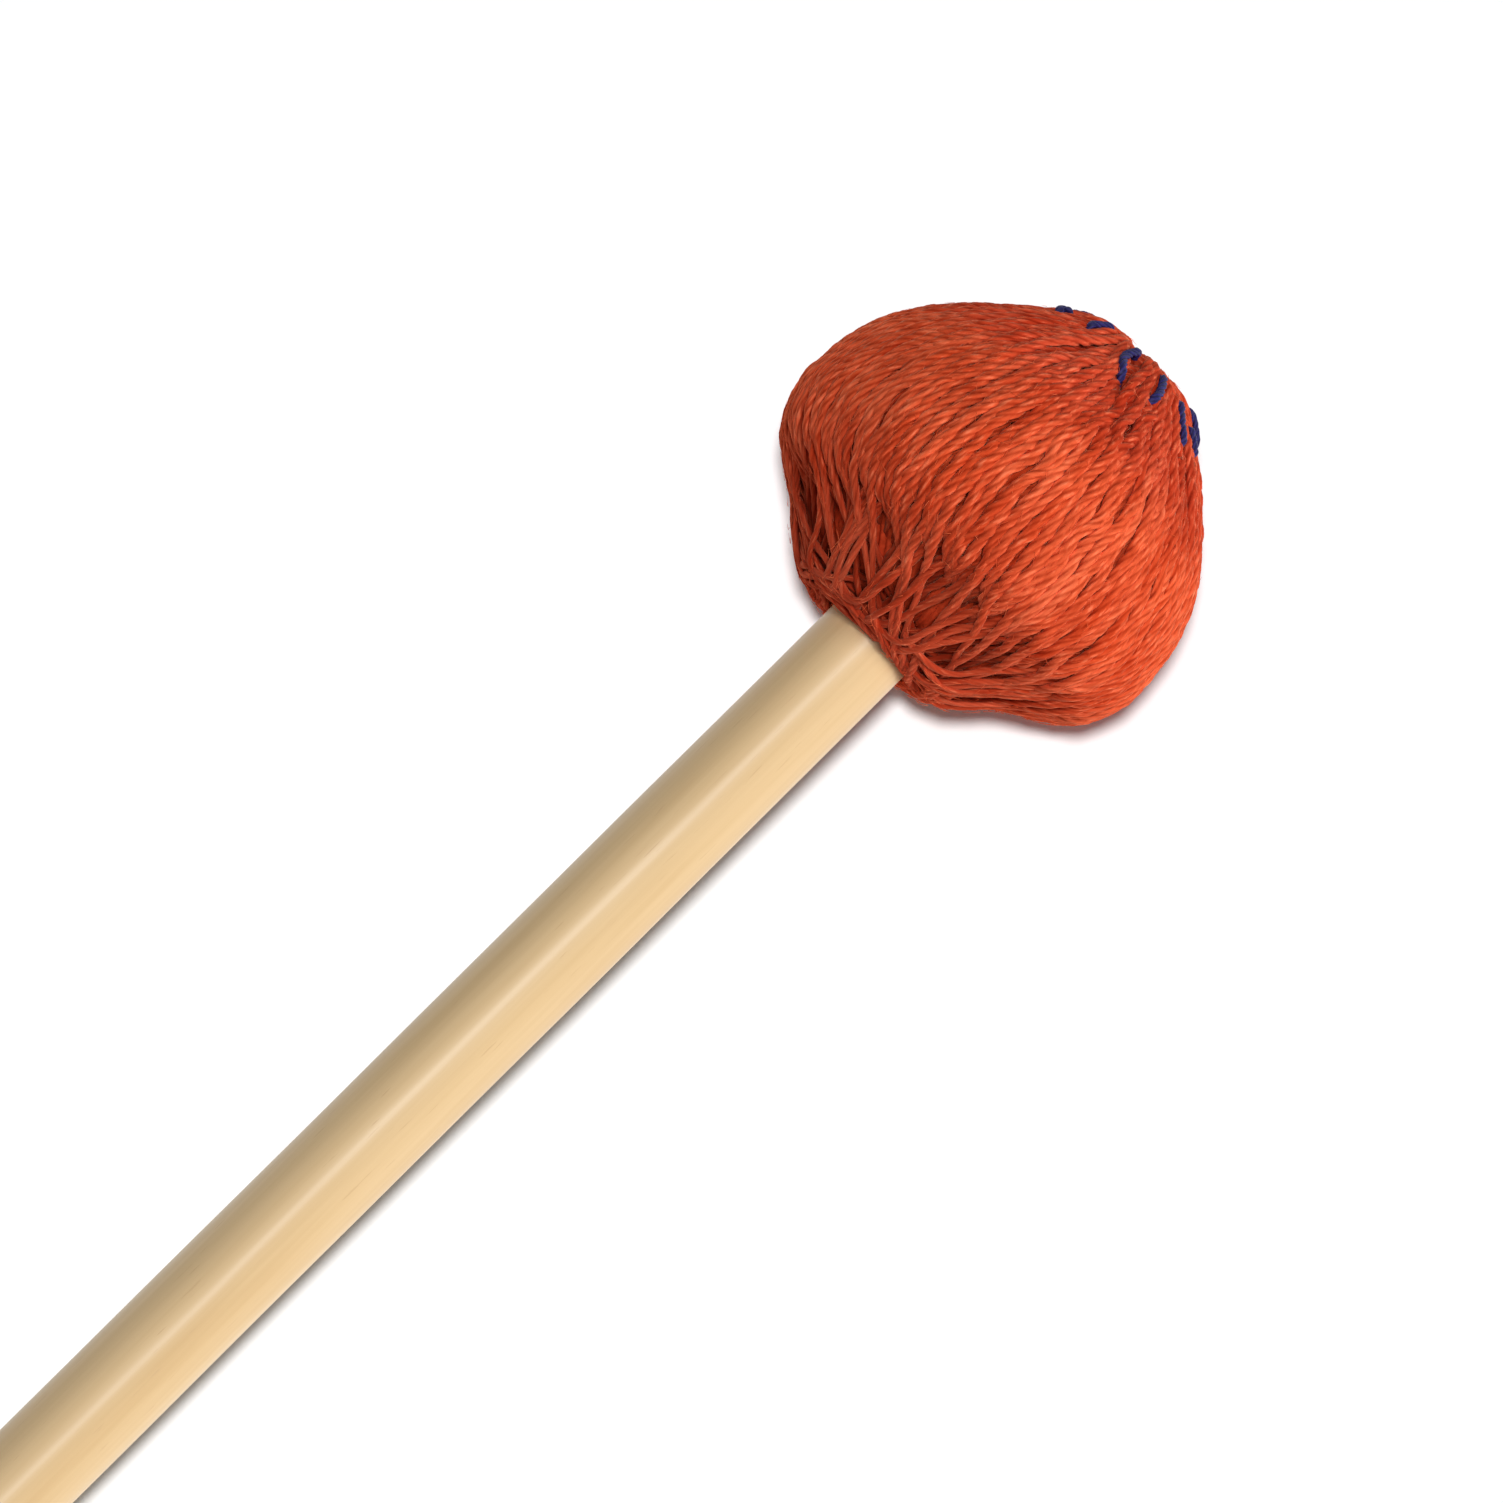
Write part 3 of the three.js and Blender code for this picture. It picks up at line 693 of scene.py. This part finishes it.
twisted_yarn = twisted_yarn_group()


def cord_mark(tree, name):
    """A mark along the cord, as a value for its material."""
    mark = tree.nodes.new("ShaderNodeAttribute")
    mark.attribute_name = name
    return mark.outputs["Fac"]


cord_lay = 5.4 * mm
fibre_lean = 0.7 / cord_lay  # the fibres lie nearly along the cord, against the turn of its plies
# Random tone of the fibres, and painted shade in the grooves between the yarns
yarn_tone_and_painted_groove_shade = (0.68, 0.54, 0.48, 1)
dye_stretch = (0, 60, 0)  # the dye changes along the cord only
dye_deep, dye_bright = (0.83, 0.1, 0.030), (0.99, 0.185, 0.076)
patch_shade = (0.84, 0.68, 0.62)
unworn_shade = (0.8, 0.61, 0.67)
# Painted highlights: pale pink flecks on the fibres, at random along the cord
painted_highlight_share = (0.6, 0.6, 0.6)
painted_highlight_colour = (1, 0.25, 0.12)
# The smooth tone of the cord pulled at the shaft, darkened with painted shade
smooth_tone_and_painted_shade = (0.69, 0.77, 0.78)
# Painted shade for strands that lie deep under others
buried_shades = ((0.1, white), (0.42, (0.82, 0.7, 0.64)), (1, (0.56, 0.42, 0.36)))
orange, tree, shader = new_material("soft two-ply cord", 0.6)
cord_place = tree.nodes.new("ShaderNodeUVMap")
cord_place.uv_map = "along the cord"
strand_place = tree.nodes.new("ShaderNodeMapping")
strand_place.inputs["Scale"].default_value = dye_stretch
tree.links.new(cord_place.outputs["UV"], strand_place.inputs["Vector"])
dye = tree.nodes.new("ShaderNodeTexNoise")
dye.inputs["Scale"].default_value = 1
tree.links.new(strand_place.outputs["Vector"], dye.inputs["Vector"])
dyed = stepped_colour(tree, dye.outputs["Fac"], (0.32, dye_deep), (0.68, dye_bright))
patches = stepped_colour(tree, grain(tree, (1, 1, 0.6), 170, 2), (0.38, patch_shade), (0.6, white))
dyed = mixed(tree, "MULTIPLY", 1, dyed, patches)
# Away from a ring just above the belly, the cord is coloured darker and redder.
unworn = stepped_colour(tree, cord_mark(tree, "worn"), (0.1, unworn_shade), (0.85, white))
dyed = mixed(tree, "MULTIPLY", 1, dyed, unworn)
yarn = placed_group(tree, twisted_yarn, fibre_scale=(8, 620, 1), fibre_lean=fibre_lean,
                    fibre_shade=yarn_tone_and_painted_groove_shade, groove_shade=yarn_tone_and_painted_groove_shade)
# Painted highlights: pale pink flecks where the fibre noise is high.
painted_highlight_flecks = stepped_colour(tree, yarn.outputs["Fibres"], (0.56, black), (0.7, painted_highlight_share))
dyed = mixed(tree, "MIX", painted_highlight_flecks, dyed, painted_highlight_colour)
# At the shaft the grooves close and the cord shows a smooth tone, darkened with painted shade as in the
# hollow round the shaft.
yarn_tone_and_painted_shade = mixed(tree, "MIX", cord_mark(tree, "pulled"), yarn.outputs["Shade"], smooth_tone_and_painted_shade)
dyed = mixed(tree, "MULTIPLY", 1, dyed, yarn_tone_and_painted_shade)
# Painted shade: the deeper a strand lies under the others, the darker its colour.
painted_depth_shade = stepped_colour(tree, cord_mark(tree, "buried"), *buried_shades)
tree.links.new(mixed(tree, "MULTIPLY", 1, dyed, painted_depth_shade), shader.inputs["Base Color"])
bumped(tree, shader, yarn.outputs["Fibres"], 0.05 * mm, 0.7)
shader.inputs["Specular IOR Level"].default_value = 0
shader.inputs["Sheen Weight"].default_value = 0.2
shader.inputs["Sheen Roughness"].default_value = 0.4
shader.inputs["Sheen Tint"].default_value = (1, 0.56, 0.36, 1)

yarn_count = 4
points_per_yarn = len(section_turns) // yarn_count
yarn_swell = 0.13  # the yarns are thicker and thinner by this share
swell_length = 1.7 * mm
pulled_thin = 0.46  # the cord is pulled thin at the shaft
closed_grooves = 0.55  # and its grooves close there
# How far the cord's colour at the shaft turns to that smooth tone with painted shade
pulled_smooth = 0.65
turn_wander = 0.8  # of the plies round the cord, in radians
turn_wander_length = 8 * mm
winding_pieces = 9
cord_points, cord_outward, cord_pass, cord_buried, cord_at_neck, cord_worn = winding_centre()
cord_length = lengths_along(cord_points)
cord_thickness = np.ones((len(cord_points), len(section_turns)))
for number in range(yarn_count):
    swell = 1 + yarn_swell * wandering(len(cord_points), swell_length)
    groove = points_per_yarn * number
    cord_thickness[:, groove + 1:groove + points_per_yarn] = swell[:, None]
cord_thickness *= (1 - pulled_thin * np.sqrt(cord_at_neck))[:, None]
cord_thickness *= 1 + closed_grooves * cord_at_neck[:, None] * (1 / section_reach - 1)[None, :]
cord_phase = turn_wander * wandering(len(cord_points), turn_wander_length)
pass_limits = np.linspace(0, passes, winding_pieces + 1).astype(int)
for number in range(winding_pieces):
    first, last = np.searchsorted(cord_pass, pass_limits[number:number + 2])
    part = slice(first, min(last + 1, len(cord_points)))
    strand = cord_mesh(cord_points[part], cord_outward[part], cord_length[first], cord_lay, cord_radius,
                       cord_thickness[part], cord_phase[part], buried=cord_buried[part] / packed_depth,
                       pulled=pulled_smooth * cord_at_neck[part], worn=cord_worn[part])
    finished(strand, f"cord_winding_{number + 1}", orange, "orange_cord", "cord_outer_layer")

# Nap. Short ends of fibre that work loose from the soft cord, of the same dye. They lie along their strand
# or stand off it a little, and are rooted only on strands that lie near the skin of the head.
nap_fibres = 3000
nap_lengths = (0.4 * mm, 1.1 * mm)
nap_radius = 0.018 * mm
nap_turn = 0.4  # how far a fibre turns away from its strand, in radians
nap_rise = 0.08
nap_droop = 1.4  # a fibre rises from its root and sinks again toward its tip
nap_curl = 0.25
nap_root_out = 0.9  # where it is rooted, as shares of the cord's half thickness
nap_root_across = 0.5
nap_deepest = 0.4 * mm
nap_rings = ((0, 1), (0.5, 0.8), (1, 0.3))  # shares of its length and of its radius
nap_section = ((1, 0), (0, -1), (-1, 0), (0, 1))


def loose_fibres():
    """All the fibres, each of three rings of four points, closed at both ends."""
    rooted = chance.choice(np.flatnonzero(cord_buried < nap_deepest), nap_fibres)
    heading = np.gradient(cord_points, axis=0)[rooted]
    heading /= np.linalg.norm(heading, axis=1)[:, None]
    stand = cord_outward[rooted]
    across = np.cross(heading, stand)
    turn = chance.normal(0, nap_turn, nap_fibres)[:, None]
    heading = heading * np.cos(turn) + across * np.sin(turn)
    heading = heading * chance.choice((-1, 1), nap_fibres)[:, None]
    across = np.cross(heading, stand)
    reach = chance.uniform(*nap_lengths, nap_fibres)[:, None]
    rise = chance.uniform(0, nap_rise, nap_fibres)[:, None]
    off_middle = nap_root_out * stand + nap_root_across * across * np.sin(3 * turn)
    root = cord_points[rooted] + cord_radius * flattened[1] * off_middle
    rings = []
    for share, thick in nap_rings:
        middle = root + reach * (share * heading + rise * share * (nap_droop - share) * stand)
        middle = middle + reach * nap_curl * turn * share * share * across
        rings += [middle + nap_radius * thick * (a * across + b * stand) for a, b in nap_section]
    points = np.stack(rings, axis=1).reshape(-1, 3)
    faces = [(3, 2, 1, 0), (8, 9, 10, 11)]
    faces += [(i, (i + 1) % 4, (i + 1) % 4 + 4, i + 4) for i in range(4)]
    faces += [(i + 4, (i + 1) % 4 + 4, (i + 1) % 4 + 8, i + 8) for i in range(4)]
    faces = np.arange(nap_fibres)[:, None, None] * len(rings) + np.array(faces)[None]
    return mesh_of(points, faces.reshape(-1, 4))


nap_dye, tree, shader = new_material("loose fibres", 0.7)
pale = grain(tree, (1, 1, 1), 400, 2)
pale = stepped_colour(tree, pale, (0.35, (0.74, 0.09, 0.028)), (0.65, (0.97, 0.2, 0.08)))
tree.links.new(pale, shader.inputs["Base Color"])
shader.inputs["Specular IOR Level"].default_value = 0
finished(loose_fibres(), "cord_nap", nap_dye, "orange_cord", "cord_outer_layer")

# Crown stitching. Navy thread, sewn through the winding round the crown, which keeps the strands from
# sliding off its edge. Each stitch dips into the cord at both ends.
stitch_steps = 40
thread_radius = 0.33 * mm
thread_lay = 2.4 * mm
stitch_slants = np.radians([-4, -19, 6, -3, -2, -9, 6, -5, 8, -6, 5, -7])  # of their inner ends
stitch_bends = np.radians([0, -6, 2, -2, 0, 0, 6, -5, 4, -6, 3, -4])
bend_rate = 1.3  # they come back from their bend before they end
stitch_dip = 1.5 * mm
stitch_dip_share = 0.1  # of a stitch, on which it dips
stitch_sink = 0.12 * mm  # of the whole stitch into the strands


def crown_stitch(number):
    """One stitch: up out of a hole in the winding, over the edge of the crown, and in again."""
    share = np.linspace(0, 1, stitch_steps)
    radius = stitch_outer[number] + (stitch_inner[number] - stitch_outer[number]) * share
    azimuth = pole_angle + math.radians(stitch_azimuths[number]) + stitch_slants[number] * share
    azimuth = azimuth + stitch_bends[number] * np.sin(math.pi * np.minimum(1, bend_rate * share))
    place = pole_shift * np.exp(1j * pole_angle) + radius * np.exp(1j * azimuth)
    ends = np.exp(-(share / stitch_dip_share) ** 2) + np.exp(-((1 - share) / stitch_dip_share) ** 2)
    return on_head(outline_way[-1] - np.abs(place), np.angle(place), stitch_dip * ends + stitch_sink)


navy, tree, shader = new_material("navy thread", 0.6)
# The thread's yarns get painted shade in the grooves between them, and a random fibre tone.
yarn = placed_group(tree, twisted_yarn, fibre_scale=(8, 2000, 1), fibre_shade=(0.4, 0.4, 0.5, 1),
                    groove_shade=(0.5, 0.5, 0.5, 1))
blue = mixed(tree, "MULTIPLY", 1, (0.028, 0.022, 0.15), yarn.outputs["Shade"])
tree.links.new(blue, shader.inputs["Base Color"])
bumped(tree, shader, yarn.outputs["Fibres"], 0.03 * mm, 0.5)

threads = []
for number in range(len(stitch_azimuths)):
    points, outward = crown_stitch(number)
    threads.append(cord_mesh(points, outward, 0, thread_lay, thread_radius, np.ones((stitch_steps, 1)),
                             np.zeros(stitch_steps)))
bpy.ops.object.select_all(action="DESELECT")
for thread in threads:
    thread.select_set(True)
bpy.context.view_layer.objects.active = threads[0]
bpy.ops.object.join()
finished(threads[0], "crown_stitches", navy, "navy_thread", "crown_stitching")

# Floor. White paper under the mallet, which shows as pure white and keeps its soft shadow.
floor_size = 3
bpy.ops.mesh.primitive_plane_add(size=floor_size, location=(0, 0, 0))
floor = bpy.context.object
floor.name = "white_floor"
paper, tree, shader = new_material("white paper", 0.9)
shader.inputs["Base Color"].default_value = (0.95, 0.95, 0.95, 1)
floor.data.materials.append(paper)

# Camera. A long lens, high over the mallet, with the head at the upper right of the square picture.
camera_azimuth = math.radians(-135.3)  # from the target to the camera
camera_elevation = math.radians(75.7)
camera_distance = 0.6456
lens_length = 200
sensor_width = 36
frame_width = 1503  # pixels
mouth_pixel = (859, 650)  # where the axis of the shaft goes into the head
to_camera = Vector((math.cos(camera_azimuth) * math.cos(camera_elevation),
                    math.sin(camera_azimuth) * math.cos(camera_elevation), math.sin(camera_elevation)))
picture_right = Vector((-math.sin(camera_azimuth), math.cos(camera_azimuth), 0))
picture_up = to_camera.cross(picture_right)
pixel = camera_distance * sensor_width / lens_length / frame_width
head_mouth = butt + axis * head_base
target = (head_mouth - picture_right * (mouth_pixel[0] - frame_width / 2) * pixel
          - picture_up * (frame_width / 2 - mouth_pixel[1]) * pixel)
lens = bpy.data.cameras.new("camera")
lens.lens = lens_length
lens.sensor_width = sensor_width
camera = bpy.data.objects.new("camera", lens)
bpy.context.scene.collection.objects.link(camera)
camera.location = target + to_camera * camera_distance
camera.rotation_euler = to_camera.to_track_quat("Z", "Y").to_euler()
bpy.context.scene.camera = camera
bpy.context.scene.view_settings.view_transform = "Standard"


# Lights. A large soft window at the lower right of the picture, a small lamp by the camera, and a strip
# whose reflection runs along the lacquer. A lamp for the floor alone gives the mallet's narrow shadow.
def soft_light(name, aim, direction, distance, size, power):
    """An area light that shines on a point from a direction."""
    light = bpy.data.lights.new(name, "AREA")
    light.shape = "DISK"
    light.size = size
    light.energy = power
    holder = bpy.data.objects.new(name, light)
    bpy.context.scene.collection.objects.link(holder)
    holder.location = aim + direction.normalized() * distance
    holder.rotation_euler = direction.to_track_quat("Z", "Y").to_euler()
    return holder


from_window = picture_right * 0.68 - picture_up * 0.27 + to_camera * 0.5
window = soft_light("window", target, from_window, distance=1.2, size=0.6, power=8.7)
window.data.color = (1, 0.985, 0.96)
window.visible_glossy = False
from_lamp = to_camera + picture_right * 0.25 + picture_up * 0.2
lamp = soft_light("lamp by the camera", target, from_lamp, distance=1.6, size=0.11, power=5)
lamp.visible_glossy = False
over_floor = to_camera + picture_up * 0.068 - picture_right * 0.004
floor_lamp = soft_light("lamp over the floor", target, over_floor, distance=1.6, size=0.14, power=25)

# The strip stands where the middle of the cane that shows mirrors it to the camera, and is turned along the
# cane
seen_cane = head_mouth - axis * 45 * mm
to_lens = target + to_camera * camera_distance - seen_cane
mirrored = (to_lens - 2 * to_lens.dot(axis) * axis).normalized()
strip = soft_light("strip of light on the lacquer", seen_cane, mirrored, distance=1.6, size=0.6, power=9)
strip.data.shape = "ELLIPSE"
strip.data.size_y = 0.4
along = (axis - axis.dot(mirrored) * mirrored).normalized()
strip.rotation_euler = Matrix((along, mirrored.cross(along), mirrored)).transposed().to_euler()

only_floor = bpy.data.collections.new("only the floor")
only_floor.objects.link(floor)
floor_lamp.light_linking.receiver_collection = only_floor
no_floor = bpy.data.collections.new("all but the floor")
no_floor.objects.link(floor)
no_floor.collection_objects[0].light_linking.link_state = "EXCLUDE"
for light in (window, lamp, strip):
    light.light_linking.receiver_collection = no_floor

# The surrounding shows as white, and lights the mallet weakly from all round
surround_light = 0.17
world = bpy.data.worlds.new("white surrounding")
bpy.context.scene.world = world
world.use_nodes = True
tree = world.node_tree
surround = tree.nodes["Background"]
surround.inputs["Color"].default_value = (0.82, 0.92, 1, 1)
rays = tree.nodes.new("ShaderNodeLightPath")
seen = tree.nodes.new("ShaderNodeMath")
seen.operation = "MAXIMUM"
seen.inputs[1].default_value = surround_light
tree.links.new(rays.outputs["Is Camera Ray"], seen.inputs[0])
tree.links.new(seen.outputs["Value"], surround.inputs["Strength"])
